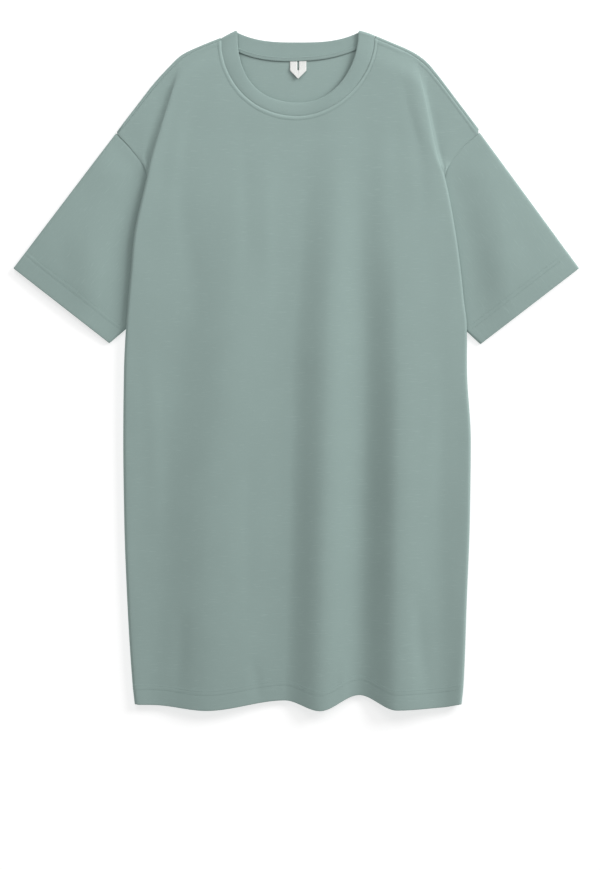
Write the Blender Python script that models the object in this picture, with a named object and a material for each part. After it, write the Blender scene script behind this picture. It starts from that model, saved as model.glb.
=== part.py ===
"""T-shirt dress of heavy cotton jersey, laid flat on its back.

Every piece that is cut and sewn is one object: front, back, two sleeves, the
rib neckband, the back neck tape and the hanger loop. The dress lies on z = 0
with the neck toward +Y and the wearer's left sleeve at +X. The back panel is
flat on the surface. The front lies over it in long soft folds, rolls under at
the sides, and doubles over the sleeves beside each armhole.

Sizes are in millimetres. The meshes are made in metres.
"""

import math

import bpy
import numpy as np

MM = 0.001
WALL = 1.5  # jersey
RIB_WALL = 3.0  # two layers of rib
TAPE_WALL = 1.0
GAP = 0.3  # between sewn pieces
FLOOR_LEVEL = WALL / 2  # middle of a wall that lies on the surface

LEFT, RIGHT = 0, 1  # as seen from above, neck up
SIGN = {LEFT: -1, RIGHT: 1}

# Heights of a wall's middle.
TIP_LEVEL = 5.0  # front layer at the shoulder tip and along the armhole
NECK_LEVEL = 5.0  # front layer where the shoulder meets the neckband
STACK = WALL + 0.8  # one layer lying on another
EDGE_DROP = 3.0  # from the top of a side fold to its outermost line
FOLD_WIDTH = 9.0  # width of a side fold's rounded edge
SOFT_WIDTH = 26.0  # width over which the front slopes down beside a side fold's upper end
SHOULDER_RISE = 36.0  # distance over which the front rises from its shoulder seam

# Outline of the body: half widths at heights along the dress. "left" and "right"
# are the folded side edges, "seam" the armhole above the underarm and the side
# seam below it.
BODY = {
    "y": (-467, -434, -322, -210, -98, 0, 61, 98, 133, 182, 266, 297, 335, 370, 400, 430),
    "left": (225.0, 228.6, 235.6, 239.8, 241.2, 240.2, 237.0, 234.2, 231.0, 226.8, 209.0,
             202.0, 190.8, 179.8, 170.4, 161.0),
    "right": (230.3, 233.5, 237.7, 241.9, 243.3, 238.0, 237.7, 233.5, 230.0, 223.7, 208.0,
              197.5, 189.0, 182.0, 175.8, 170.5),
}
SEAM = {
    "y": (-467, -434, -322, -210, -150, -60, 0, 60, 94, 150, 200, 240, 262, 277, 290, 303,
          316, 330),
    "half": (219.0, 222.5, 229.5, 233.0, 229.0, 218.0, 210.0, 203.0, 199.5, 200.5, 202.0,
             204.0, 206.0, 209.0, 216.5, 226.0, 237.0, 248.0),
}
UNDERARM = 94.0
CROSSING = 277.0  # where the armhole seam goes under the side fold
CROSSING_BLEND = 20.0  # half the length over which the side fold begins there
STACK_BLEND = 14.0  # the armhole seam climbs onto the sleeve over this much
LYING_BLEND = 12.0  # and comes down to the surface below the underarm over this much
SLEEVE_CLEARANCE = 18.5  # the front is clear of a sleeve's underarm edge this far from it
LOW_SIDE, SIDE_RISE = 10.0, 40.0  # below the first height a side fold rests on the surface
TIP_HALF = {LEFT: 250.3, RIGHT: 254.6}  # half width to the shoulder tip

# Shoulder: the folded edge and the seam in front of it, by distance from the centre.
SHOULDER = {
    "x": (104, 135, 160, 180, 200, 220, 240, 256),
    "edge_left": (465.0, 452.5, 440.3, 421.0, 399.0, 373.0, 347.0, 325.5),
    "edge_right": (470.0, 457.0, 446.0, 432.8, 409.5, 383.0, 356.5, 335.3),
    "seam_left": (461.5, 449.5, 435.3, 415.5, 393.0, 367.2, 342.0, 322.5),
    "seam_right": (466.0, 453.5, 441.5, 426.8, 403.3, 377.0, 350.5, 328.5),
}

# Long folds of the front, from left to right, each a crest or a trough: its place
# and height at four stations along the dress, and how far the hem hangs there.
STATIONS = (-460.0, -200.0, 0.0, 210.0, 330.0)
FOLDS = (
    {"name": "left edge", "x": (-222, -236, -238, -220, -192), "z": (10, 10, 10.5, 12, 10.2), "hem": -467.5},
    {"name": "left trough", "x": (-197, -190, -166, -152, -150), "z": (8.5, 8.5, 9, 9.5, 8.6), "hem": -468.0},
    {"name": "left crest", "x": (-125, -120, -98, -88, -85), "z": (15, 14.5, 13, 10.5, 7.4), "hem": -475.6},
    {"name": "middle trough", "x": (-16, -9, -6, 8, 12), "z": (7, 7, 7.5, 7.6, 5.8), "hem": -461.6},
    {"name": "middle crest", "x": (33, 39, 43, 52, 54), "z": (19, 18, 16.5, 11.5, 6.4), "hem": -475.6},
    {"name": "right trough", "x": (88, 92, 95, 92, 88), "z": (6, 6, 7, 8, 5.9), "hem": -454.2},
    {"name": "right crest", "x": (140, 142, 143, 140, 130), "z": (21, 21, 18.5, 11.5, 7.4), "hem": -474.5},
    {"name": "side trough", "x": (205, 206, 205, 196, 170), "z": (8.5, 10, 11.5, 11, 8.8), "hem": -471.0},
    {"name": "right edge", "x": (226, 238, 235, 216, 190), "z": (11, 11, 10.5, 10.5, 9.3), "hem": -467.5},
)
HEM_REACH = 260.0  # how far up the dress the hem's wave is felt
BACK_HEM = -446.0  # the back hem stays hidden behind the front's

# Neck: the seam and the folded edge of the rib, front and back. The curves are
# superellipses about a shoulder line that is a little higher at the right.
NECK_CENTRE = 2.3
NECK_LINE = {"left": 460.5, "right": 465.0}
SEAM_HALF = 107.0
EDGE_HALF = 84.5
EDGE_LINE = 472.4
FRONT_SEAM = {"depth": 107.5, "left": 2.0, "right": 1.9}
FRONT_EDGE = {"depth": 98.2, "left": 2.4, "right": 2.0}
BACK_SEAM = {"depth": 27.5, "power": 2.5}
BACK_EDGE = {"depth": 13.6, "power": 3.0}
RIB_LIFT = 0.6  # the rib stands this much over the panel at its seam
RIB_EDGE_LIFT = (-1.9, 0.1)  # and its folded edge this much more, in front and at the shoulders
RIB_LEVEL = RIB_WALL / 2
RIB_TURN = 2.0
NECK_NOTCH = 3.2  # room for the folded rib between it and the shoulder seam

# Sleeves: corners of the cuff, and the underarm.
CUFF_TOP = {LEFT: (395.0, 142.0), RIGHT: (395.0, 142.0)}
CUFF_FOOT = {LEFT: (262.0, 38.2), RIGHT: (258.3, 36.8)}
CUFF_HEIGHT = 7.6  # between the middles of the two layers
TURN = 2.1  # width of a sleeve's folded edge
SHOULDER_TURN = 1.6  # width of the fold where the back turns over a shoulder
SLEEVE_SWELL = 60.0  # distance over which a sleeve fills out

TAPE_WIDTH = 6.0
TAPE_REACH = 80.0
LOOP_WIDTH = 23.0
LOOP_SHOULDER = 13.8
LOOP_LENGTH = 25.4
LOOP_SLIT = 1.9
LOOP_SLIT_LENGTH = 13.2
LOOP_LEVEL = 2.5
LOOP_CENTRE = 2.6

# Heights of the rows of the front, at the side edge and at the seam.
EDGE_ROWS = (-467, -430, -350, -250, -150, -50, 20, 50, 64, 79, 94, 130, 175, 220, 255, 277,
             292, 312, 335, 360, 388, 412)
SEAM_ROWS = (-467, -430, -350, -250, -150, -50, 20, 50, 64, 79, 94, 130, 175, 220, 255, 277,
             286, 295, 304, 313, 320, 325)
PULL = 0.35  # how far the handles of the tuck's curve reach
FOLD_PULL = 0.25
TUCK_STEPS = (0.0, 0.25, 0.5, 0.75, 0.92)
ROLL_STEPS = (0.0, 0.35, 0.7)
SLEEVE_STEPS = (0.0, 0.15, 0.3, 0.45, 0.7, 1.0)
TURN_ANGLES = (-45, 0, 45, 90)
NECK_COLUMNS = 16
SHOULDER_COLUMNS = 3


def follow(at, xs, ys):
    """Smooth curve through points that never overshoots them; xs and ys may vary with at."""
    at = np.atleast_1d(np.asarray(at, float))
    xs = np.asarray(xs, float).reshape(len(xs), -1)
    ys = np.asarray(ys, float).reshape(len(ys), -1)
    xs = np.broadcast_to(xs, (len(xs), at.size))
    ys = np.broadcast_to(ys, (len(ys), at.size))
    width = np.diff(xs, axis=0)
    rise = np.diff(ys, axis=0) / width
    slope = np.zeros(ys.shape)
    both = rise[:-1] * rise[1:]
    same = both > 0
    slope[1:-1] = np.where(same, 2 * both / np.where(same, rise[:-1] + rise[1:], 1), 0)
    slope[0], slope[-1] = rise[0], rise[-1]
    i = np.clip((at[None] >= xs).sum(axis=0) - 1, 0, len(xs) - 2)[None]
    j = i + 1

    def pick(values, index):
        return np.take_along_axis(values, index, 0)[0]

    span = pick(width, i)
    t = np.clip((at - pick(xs, i)) / span, 0, 1)
    low, high = pick(ys, i), pick(ys, j)
    start, end = pick(slope, i) * span, pick(slope, j) * span
    return (low * (1 + 2 * t) * (1 - t) ** 2 + high * t**2 * (3 - 2 * t)
            + start * t * (1 - t) ** 2 - end * t**2 * (1 - t))


def ease(t):
    """0 below 0, 1 above 1, and smooth between."""
    t = np.clip(t, 0, 1)
    return t * t * (3 - 2 * t)


def mix(a, b, t):
    return a + (b - a) * t


def body_edge(side, y):
    return follow(y, BODY["y"], BODY["left" if side == LEFT else "right"])


def body_seam(y):
    return follow(y, SEAM["y"], SEAM["half"])


def shoulder(kind, x):
    """Height of the shoulder's edge or seam at x, on either side."""
    out = np.clip(np.abs(x), SHOULDER["x"][0], None)
    left = follow(out, SHOULDER["x"], SHOULDER[kind + "_left"])
    right = follow(out, SHOULDER["x"], SHOULDER[kind + "_right"])
    return mix(left, right, ease((np.asarray(x) + SEAM_HALF) / (2 * SEAM_HALF)))


def shoulder_level(x):
    """Height of the front layer along the shoulder seam."""
    return mix(NECK_LEVEL, TIP_LEVEL, ease((np.abs(x) - SEAM_HALF) / (SHOULDER["x"][-1] - SEAM_HALF)))


def fold_height(x, y):
    places = [follow(y, STATIONS, fold["x"]) for fold in FOLDS]
    heights = [follow(y, STATIONS, fold["z"]) for fold in FOLDS]
    return follow(x, places, heights)


def front_height(x, y):
    """Middle of the front layer over the surface, before its sides roll under."""
    x, y = np.atleast_1d(x), np.atleast_1d(y)
    low = shoulder_level(x)
    rise = ease((shoulder("seam", x) - y) / SHOULDER_RISE)
    return mix(low, fold_height(x, y), rise)


def hem_wave(x):
    return follow(x, [fold["x"][0] for fold in FOLDS], [fold["hem"] for fold in FOLDS])


def superellipse(x, half, centre, power):
    return (1 - np.clip(np.abs((x - centre) / half), 0, 1) ** power) ** (1 / power)


def sided(x, shape, half):
    """Exponent that goes from the left value to the right one across the neck."""
    return mix(shape["left"], shape["right"], ease((x - NECK_CENTRE + half) / (2 * half)))


def neck_line(x):
    return mix(NECK_LINE["left"], NECK_LINE["right"], ease((x + SEAM_HALF) / (2 * SEAM_HALF)))


def front_seam_y(x, half=SEAM_HALF, depth=FRONT_SEAM["depth"]):
    power = sided(x, FRONT_SEAM, half)
    return neck_line(x) - depth * superellipse(x, half, NECK_CENTRE, power)


def front_edge_y(x):
    power = sided(x, FRONT_EDGE, EDGE_HALF)
    return EDGE_LINE - FRONT_EDGE["depth"] * superellipse(x, EDGE_HALF, NECK_CENTRE, power)


def back_seam_y(x, half=SEAM_HALF):
    across = np.clip(np.abs((x - NECK_CENTRE) / half), 0, 1)
    return neck_line(x) - BACK_SEAM["depth"] * (1 - across ** BACK_SEAM["power"])


def back_edge_y(x):
    across = np.clip(np.abs((x - NECK_CENTRE) / EDGE_HALF), 0, 1)
    return EDGE_LINE - BACK_EDGE["depth"] * (1 - across ** BACK_EDGE["power"])


def neck_stops(count, half):
    """Places across the neck, close together at the sides where its curve is steep."""
    angle = np.linspace(math.pi, 0, count + 1)
    return NECK_CENTRE + half * np.cos(angle)


def tuck_start(y):
    """Height of the front's edge along the armhole and side seam."""
    lying = ease((y - UNDERARM + LYING_BLEND) / LYING_BLEND)
    stacked = ease((CROSSING + STACK_BLEND - y) / STACK_BLEND)
    return mix(FLOOR_LEVEL, TIP_LEVEL + STACK * stacked, lying)


def over_sleeve(side, x, y):
    """Lowest height at which the front clears the sleeve's underarm edge."""
    start = np.array((body_seam(UNDERARM)[0], UNDERARM))
    run = np.array(CUFF_FOOT[side]) - start
    run /= np.linalg.norm(run)
    across = (np.abs(x) - start[0]) * -run[1] + (y - start[1]) * run[0]
    return mix(FLOOR_LEVEL, TIP_LEVEL + STACK, ease((across + SLEEVE_CLEARANCE) / LYING_BLEND))


def front_side(side, edge_y, seam_y, last):
    """One row of the front beside its edge: from the seam, under, and round the fold."""
    sign = SIGN[side]
    half_edge, half_seam = body_edge(side, edge_y)[0], body_seam(seam_y)[0]
    inset = GAP / 2 if seam_y > CROSSING else -GAP
    if last:
        half_seam = TIP_HALF[side]
    folded = float(ease((CROSSING + CROSSING_BLEND - edge_y) / (2 * CROSSING_BLEND)))
    width = mix(SOFT_WIDTH, FOLD_WIDTH, folded)
    top = front_height(sign * half_edge, edge_y)[0]
    start = tuck_start(seam_y)
    if edge_y > CROSSING:
        middle = mix(start, top, 0.5)
    else:
        raised = float(ease((edge_y - LOW_SIDE) / SIDE_RISE))
        middle = mix(mix(FLOOR_LEVEL, top, 0.5), top - EDGE_DROP, raised)
    lead = width * PULL * (1 - folded)
    drop = (top - middle) * mix(PULL, FOLD_PULL, folded)
    seam = np.array((half_seam - inset, seam_y, start))
    edge = np.array((half_edge, edge_y, middle))
    second = seam + (edge - seam) * (PULL, PULL, 0)
    third = edge + (lead, (seam_y - edge_y) * 0.2, -drop)
    points = []
    for t in TUCK_STEPS:
        p = (1 - t) ** 3 * seam + 3 * (1 - t) ** 2 * t * second + 3 * (1 - t) * t**2 * third + t**3 * edge
        p[2] = max(p[2], over_sleeve(side, p[0], p[1]) if p[1] < UNDERARM else start)
        points.append((sign * p[0], p[1], p[2]))
    for q in ROLL_STEPS:
        soft = (3 * (1 - q) ** 2 * q * 0.35 + 3 * (1 - q) * q**2 * 0.6 + q**3,
                (1 - q) ** 3 + 3 * (1 - q) ** 2 * q * 0.65)
        round_ = (1 - math.cos(q * math.pi / 2), 1 - math.sin(q * math.pi / 2))
        across, fall = mix(np.array(soft), np.array(round_), folded)
        x = sign * (half_edge - width * across)
        z = front_height(x, edge_y)[0] - (top - middle) * fall
        points.append((x, edge_y, z))
    return points, sign * (half_edge - width)


def panel_stops(inner_left, inner_right, neck_half):
    """Places along the top of a panel: left shoulder, neck, right shoulder."""
    neck = neck_stops(NECK_COLUMNS, neck_half)
    left = np.linspace(inner_left, neck[0] - NECK_NOTCH, SHOULDER_COLUMNS)
    right = np.linspace(neck[-1] + NECK_NOTCH, inner_right, SHOULDER_COLUMNS)
    return np.concatenate((left, neck, right))


def front_grid():
    """Rows of points on the middle of the front, from the hem to the neck and shoulders."""
    rows = []
    half = SEAM_HALF + GAP
    count = len(EDGE_ROWS)
    for i, (edge_y, seam_y) in enumerate(zip(EDGE_ROWS, SEAM_ROWS)):
        last = i == count - 1
        left, x0 = front_side(LEFT, edge_y, seam_y, last)
        right, x1 = front_side(RIGHT, edge_y, seam_y, last)
        along = (edge_y - EDGE_ROWS[0]) / (EDGE_ROWS[-1] - EDGE_ROWS[0])
        stops = panel_stops(x0, x1, half)
        even = np.linspace(x0, x1, len(stops))
        x = mix(even, stops, ease(along * 1.15 - 0.15) ** 1.5)
        top = panel_top(x, half)
        y = mix(EDGE_ROWS[0], top, along)
        reach = ease(1 - (y - EDGE_ROWS[0]) / HEM_REACH)
        y = y + (hem_wave(x) - EDGE_ROWS[0]) * reach
        middle = np.column_stack((x, y, front_height(x, y)))
        row = np.array(left + middle.tolist() + right[::-1])
        if last:
            outer = np.abs(row[:, 0] - NECK_CENTRE) > half + 0.01
            row[outer, 1] = shoulder("seam", row[outer, 0])
            row[outer, 2] = shoulder_level(row[outer, 0])
        rows.append(row)
    return np.array(rows)


def panel_top(x, half):
    """Top of the front at x: its shoulder seam, and the front neckline between."""
    inside = np.abs(x - NECK_CENTRE) < half
    return np.where(inside, front_seam_y(x, half, FRONT_SEAM["depth"] + GAP), shoulder("seam", x))


def grid_faces(rows, columns, closed=False):
    faces = []
    for i in range(rows - 1):
        for j in range(columns if closed else columns - 1):
            k = (j + 1) % columns
            faces.append((i * columns + j, i * columns + k, (i + 1) * columns + k, (i + 1) * columns + j))
    return faces


def armhole(side):
    """The sleeve's edge from the underarm to the shoulder tip, as half widths and heights."""
    heights = [y for y in SEAM_ROWS if y >= UNDERARM]
    points = [[body_seam(y)[0] + GAP / 2, y] for y in heights]
    points[0][0] += GAP
    points[-1] = [TIP_HALF[side] + GAP / 2, shoulder("seam", SIGN[side] * TIP_HALF[side])[0]]
    return np.array(points)


def back_grid(front):
    """Rows of points on the middle of the back, up to where its shoulders turn over.
    Its columns meet those of the front along the shoulders and the armholes."""
    half = SEAM_HALF + GAP
    stops = front[-1, :, 0].copy()
    stops[0], stops[-1] = -TIP_HALF[LEFT] + GAP / 2, TIP_HALF[RIGHT] - GAP / 2
    inside = np.abs(stops - NECK_CENTRE) < half + 0.1
    top = np.where(inside, back_seam_y(stops, half) - GAP, shoulder("edge", stops) - SHOULDER_TURN)
    rows = []
    for i, seam_y in enumerate(SEAM_ROWS):
        along = (seam_y - SEAM_ROWS[0]) / (SEAM_ROWS[-1] - SEAM_ROWS[0])
        reach = body_seam(seam_y)[0] - GAP / 2
        x = reach * mix(np.linspace(-1, 1, len(stops)), stops / stops[-1], ease(along * 2 - 1))
        y = BACK_HEM + (top - BACK_HEM) * along
        x[0], x[-1] = -reach, reach
        y[0] = y[-1] = max(seam_y, BACK_HEM)
        rows.append(np.column_stack((x, y, np.full(len(x), FLOOR_LEVEL))))
    rows[-1][:, 0], rows[-1][:, 1] = stops, top
    return np.array(rows)


def shoulder_turn(x):
    """Points of the back's strip that turns over the shoulder's edge and lies in front of it."""
    level = shoulder_level(x)
    middle = (FLOOR_LEVEL + level) / 2
    edge, seam = shoulder("edge", x), shoulder("seam", x) + 2 * GAP
    rows = []
    for angle in TURN_ANGLES:
        out = SHOULDER_TURN * (1 - math.cos(math.radians(angle)))
        y = np.maximum(edge - out, seam) if angle > 0 else edge - out
        rows.append(np.column_stack((x, y, middle + (level - middle) * math.sin(math.radians(angle)))))
    rows[-1][:, 1] = np.minimum(rows[-1][:, 1], seam)
    return np.array(rows)


def sleeve_rings(side):
    """Rings of points round a flattened sleeve, from the armhole to the cuff."""
    sign = SIGN[side]
    hole = armhole(side)[::-1]
    steps = np.concatenate(((0,), np.cumsum(np.linalg.norm(np.diff(hole, axis=0), axis=1))))
    steps /= steps[-1]
    top, foot = np.array(CUFF_TOP[side]), np.array(CUFF_FOOT[side])
    run = (foot - top) / np.linalg.norm(foot - top)
    cuff = top + run * TURN + np.outer(steps, (foot - top) - 2 * TURN * run)
    rings = []
    for b in SLEEVE_STEPS:
        plan = mix(hole, cuff, b)
        covered = np.maximum(body_edge(side, plan[:, 1]), body_seam(plan[:, 1]))
        swell = ease((plan[:, 0] - covered - FOLD_WIDTH) / SLEEVE_SWELL)
        height = mix(TIP_LEVEL - FLOOR_LEVEL, CUFF_HEIGHT, swell)
        upper = np.column_stack((plan, FLOOR_LEVEL + height))
        lower = np.column_stack((plan, np.full(len(plan), FLOOR_LEVEL)))
        ring = np.concatenate((upper, turn_points(upper[-1], upper[-2], height[-1]),
                               lower[::-1], turn_points(upper[0], upper[1], height[0])[::-1]))
        ring[:, 0] *= sign
        rings.append(ring)
    return np.array(rings)


def turn_points(end, before, height):
    """Points down a folded edge, outside the end of a layer."""
    out = (end - before)[:2]
    out = out / np.linalg.norm(out)
    points = []
    for angle in (45, 0, -45):
        reach = TURN * math.cos(math.radians(angle))
        z = FLOOR_LEVEL + height * (1 + math.sin(math.radians(angle))) / 2
        points.append((*(end[:2] + out * reach), z))
    return np.array(points)


def rib_rings():
    """Points round the neck on the seam and on the folded edge, front first."""
    stops = neck_stops(NECK_COLUMNS, 1.0) - NECK_CENTRE
    seam_x = NECK_CENTRE + SEAM_HALF * stops
    edge_x = NECK_CENTRE + EDGE_HALF * stops
    front = np.column_stack((seam_x, front_seam_y(seam_x)))
    front_edge = np.column_stack((edge_x, front_edge_y(edge_x)))
    back = np.column_stack((seam_x, back_seam_y(seam_x)))[::-1]
    back_edge = np.column_stack((edge_x, back_edge_y(edge_x)))[::-1]
    high = front_height(*front.T) + RIB_LIFT
    edge_high = high + mix(*RIB_EDGE_LIFT, np.abs(stops) ** 3)
    seams, edges = [], []
    low = np.full(len(back), RIB_LEVEL)
    for plan, height, out in ((front, high, seams), (front_edge, edge_high, edges),
                              (back, low, seams), (back_edge, low, edges)):
        out.append(np.column_stack((plan, height)))
    return [neck_loop(*pair) for pair in (seams, edges)]


def neck_loop(front, back):
    """One closed loop of a neck edge, rounded where it turns over each shoulder."""
    return np.concatenate((front, rib_turn(front[-1], back[0], 1), back, rib_turn(back[-1], front[0], -1)))


def rib_turn(start, end, sign):
    """Points round the fold of the rib, which bulges square to the line of the fold."""
    slant = np.array((sign * (SEAM_HALF - EDGE_HALF), NECK_LINE["left"] - EDGE_LINE))
    out = np.array((-sign * slant[1], SEAM_HALF - EDGE_HALF)) / np.linalg.norm(slant)
    points = []
    for t in (0.2, 0.5, 0.8):
        reach = RIB_TURN * math.sin(math.pi * t)
        z = mix(start[2], end[2], (1 - math.cos(math.pi * t)) / 2)
        points.append((*(mix(start, end, t)[:2] + out * reach), z))
    return np.array(points)


def tape_grid():
    """The back neck tape, which lies over the seam of the rib and the back."""
    x = NECK_CENTRE + np.linspace(-TAPE_REACH, TAPE_REACH, 15)
    seam = back_seam_y(x)
    level = RIB_LEVEL + RIB_WALL / 2 + GAP + TAPE_WALL / 2
    rows = [np.column_stack((x, seam + side * TAPE_WIDTH / 2, np.full(len(x), level))) for side in (-1, 1)]
    return np.array(rows)


def loop_plate():
    """The hanger loop: two legs side by side that meet in a mitred point."""
    half = LOOP_WIDTH / 2
    top = float(back_seam_y(LOOP_CENTRE)) - TAPE_WIDTH / 2 - GAP
    slit = LOOP_SLIT / 2
    outline = [(-half, 0), (-half, -LOOP_SHOULDER), (0, -LOOP_LENGTH), (half, -LOOP_SHOULDER), (half, 0),
               (slit, 0), (slit, -LOOP_SLIT_LENGTH), (-slit, -LOOP_SLIT_LENGTH), (-slit, 0)]
    points = [(LOOP_CENTRE + x, top + y, LOOP_LEVEL) for x, y in outline]
    faces = [(0, 1, 7, 8), (1, 2, 7), (2, 6, 7), (2, 3, 6), (3, 4, 5, 6)]
    return points, faces


def cloth_material(name, colour, roughness):
    material = bpy.data.materials.new(name)
    material.use_nodes = True
    shader = material.node_tree.nodes["Principled BSDF"]
    shader.inputs["Base Color"].default_value = (*colour, 1)
    shader.inputs["Roughness"].default_value = roughness
    shader.inputs["Metallic"].default_value = 0
    return material


def add_cloth(name, points, faces, wall, material):
    """A named wall of cloth with points on its middle."""
    mesh = bpy.data.meshes.new(name)
    mesh.from_pydata([tuple(p) for p in np.asarray(points).reshape(-1, 3) * MM], [], faces)
    piece = bpy.data.objects.new(name, mesh)
    bpy.context.collection.objects.link(piece)
    solid = piece.modifiers.new("wall", "SOLIDIFY")
    solid.thickness = wall * MM
    solid.offset = 0
    mesh.materials.append(material)
    mesh.shade_smooth()
    return piece


def add_front(jersey):
    grid = front_grid()
    add_cloth("front", grid, grid_faces(*grid.shape[:2]), WALL, jersey)


def add_back(jersey):
    """The flat panel, with a strip that turns over each shoulder."""
    grid = back_grid(front_grid())
    rows, columns = grid.shape[:2]
    faces = grid_faces(rows, columns)
    points = list(grid.reshape(-1, 3))
    last = (columns - NECK_COLUMNS - 1) // 2
    for first in (0, columns - last):
        strip = shoulder_turn(grid[-1, first:first + last, 0])
        base = len(points)
        points += list(strip.reshape(-1, 3))
        count = len(strip)
        for j in range(last - 1):
            below = (rows - 1) * columns + first + j
            faces.append((below, below + 1, base + j + 1, base + j))
        faces += [tuple(base + k for k in face) for face in grid_faces(count, last)]
    add_cloth("back", points, faces, WALL, jersey)


def add_sleeve(name, side, jersey):
    rings = sleeve_rings(side)
    faces = grid_faces(*rings.shape[:2], closed=True)
    if side == LEFT:
        faces = [face[::-1] for face in faces]
    add_cloth(name, rings, faces, WALL, jersey)


def add_neckband(rib):
    seam, edge = rib_rings()
    rows = np.array([mix(seam, edge, t) for t in (0.0, 0.5, 1.0)])
    add_cloth("neckband", rows, grid_faces(*rows.shape[:2], closed=True), RIB_WALL, rib)


def add_neck_tape(jersey):
    grid = tape_grid()
    add_cloth("neck_tape", grid, grid_faces(*grid.shape[:2]), TAPE_WALL, jersey)


def add_hanger_loop(twill):
    points, faces = loop_plate()
    add_cloth("hanger_loop", points, faces, TAPE_WALL, twill)


def clear_scene():
    for piece in list(bpy.data.objects):
        bpy.data.objects.remove(piece, do_unlink=True)


def build():
    clear_scene()
    jersey = cloth_material("jersey", (0.28, 0.37, 0.35), 0.9)
    rib = cloth_material("rib", (0.27, 0.36, 0.34), 0.9)
    twill = cloth_material("twill", (0.8, 0.8, 0.78), 0.8)
    add_back(jersey)
    add_front(jersey)
    add_sleeve("sleeve_left", LEFT, jersey)
    add_sleeve("sleeve_right", RIGHT, jersey)
    add_neckband(rib)
    add_neck_tape(jersey)
    add_hanger_loop(twill)


build()
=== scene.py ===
import math

import bpy
import numpy as np
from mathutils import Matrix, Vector
from mathutils.bvhtree import BVHTree


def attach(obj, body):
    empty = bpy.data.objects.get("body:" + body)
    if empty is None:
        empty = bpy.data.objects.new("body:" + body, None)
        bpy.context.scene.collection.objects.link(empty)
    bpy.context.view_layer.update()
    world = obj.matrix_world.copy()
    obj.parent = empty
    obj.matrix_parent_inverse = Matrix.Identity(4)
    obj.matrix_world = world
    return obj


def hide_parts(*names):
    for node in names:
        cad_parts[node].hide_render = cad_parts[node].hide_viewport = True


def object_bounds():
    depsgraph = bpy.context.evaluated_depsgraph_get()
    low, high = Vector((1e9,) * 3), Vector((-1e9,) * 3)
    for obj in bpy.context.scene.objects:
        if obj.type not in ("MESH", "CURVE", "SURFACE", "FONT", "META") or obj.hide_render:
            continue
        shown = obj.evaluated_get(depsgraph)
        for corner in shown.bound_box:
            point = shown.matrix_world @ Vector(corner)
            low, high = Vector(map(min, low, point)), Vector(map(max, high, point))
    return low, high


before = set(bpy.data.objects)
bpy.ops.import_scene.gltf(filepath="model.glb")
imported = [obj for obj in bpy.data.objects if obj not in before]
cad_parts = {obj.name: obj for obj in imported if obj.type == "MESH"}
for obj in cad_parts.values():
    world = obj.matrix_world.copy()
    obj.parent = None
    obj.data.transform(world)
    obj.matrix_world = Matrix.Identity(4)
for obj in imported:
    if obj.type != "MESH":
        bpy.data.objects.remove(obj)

cadLow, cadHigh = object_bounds()
mm = 0.001
left, right = -1, 1  # as seen from above, neck up
sideNames = {left: "left", right: "right"}

# All shapes are worked out in millimetres about this point, the middle of the frame's box.
middleOfFrame = np.array(((cadLow.x + cadHigh.x) / 2, (cadLow.y + cadHigh.y) / 2, cadLow.z))
size = (cadHigh - cadLow) / mm
print(f"frame: {len(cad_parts)} nodes, {size.x:.0f} x {size.y:.0f} mm")

# How the cloth lies. Levels are heights of a layer's middle.
cloth = {
    "thickness": 1.4,
    "hemThickness": 1.65,  # two layers, pressed
    "gap": 0.06,           # between sewn pieces
    "floorLevel": 0.75,    # of a layer that lies on the surface
    "lowest": 0.03,        # nothing comes nearer to the surface
    "tipLevel": 5.0,       # front layer at the shoulder tip and along the armhole
    "neckLevel": 5.0,      # front layer where the shoulder meets the neckband
    "stack": 2.3,          # one layer lying on another
    "edgeDrop": 3.0,       # from the top of a side fold to its outermost line, low on the body
    "foldWidth": 3.6,      # of a side fold's rounded edge
    "widening": 95.0,      # over which it widens above the armhole seam
    "softWidth": 16.0,     # of its slope near the shoulder, where the fold dies out
    "foldReach": (385.0, 434.0),  # heights between which it does
    ("slope", left): 12.0,  # width of the fold's fall to the yoke, and how hollow it is
    ("slope", right): 6.0,
    ("hollow", left): 2.9,
    ("hollow", right): 1.4,
    ("roll", left): (5.0, 0.74),  # width of its rounded top, and the share of its fall below that
    ("roll", right): (13.0, 0.5),
    "shoulderRise": 36.0,  # over which the front rises from its shoulder seam
    "underarmRise": 12.0,  # over which layers change level at the underarm
    "crossingRise": 14.0,  # and below the crossing
    "sideRise": (10.0, 40.0),  # from where up, and over how far, a side fold rises
    "sleeveMargin": 18.5,  # beside a sleeve's underarm edge, over which the front clears it
}

# Half widths of the folded body and of its seams, by height along the dress.
body = {
    "y": (-467, -434, -322, -210, -98, 0, 61, 98, 133, 182, 266, 297, 335, 370, 400, 430),
    left: (225.0, 228.6, 235.6, 239.8, 241.2, 240.2, 237.0, 234.2, 231.0, 226.8, 209.0,
           202.0, 190.8, 179.8, 170.4, 161.0),
    right: (230.3, 233.5, 237.7, 241.9, 243.3, 238.0, 237.7, 233.5, 230.0, 223.7, 208.0,
            197.5, 189.0, 182.0, 175.8, 170.5),
    "seamY": (-467, -434, -322, -210, -150, -60, 0, 60, 94, 150, 200, 240, 262, 277, 290, 303,
              316, 330),
    "seamHalf": (219.0, 222.5, 229.5, 233.0, 229.0, 218.0, 210.0, 203.0, 199.5, 200.5, 202.0,
                 204.0, 206.0, 209.0, 216.5, 226.0, 237.0, 248.0),
    "underarm": 94.0,
    "crossing": 277.0,     # where the armhole seam goes under the side fold
    "seamRidge": {left: 0.2, right: 0.08},  # of the front beside the armhole seams
    "seamDip": {left: 0.3, right: 0.1},     # of the sleeves beside them
    ("tip", left): 250.3,  # half widths to the shoulder tips
    ("tip", right): 254.6,
    "hemLine": -467.0,
    "backHem": -446.0,     # the back hem stays behind the front's
    "hemReach": 260.0,     # how far up the dress the hem's wave is felt
}

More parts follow.
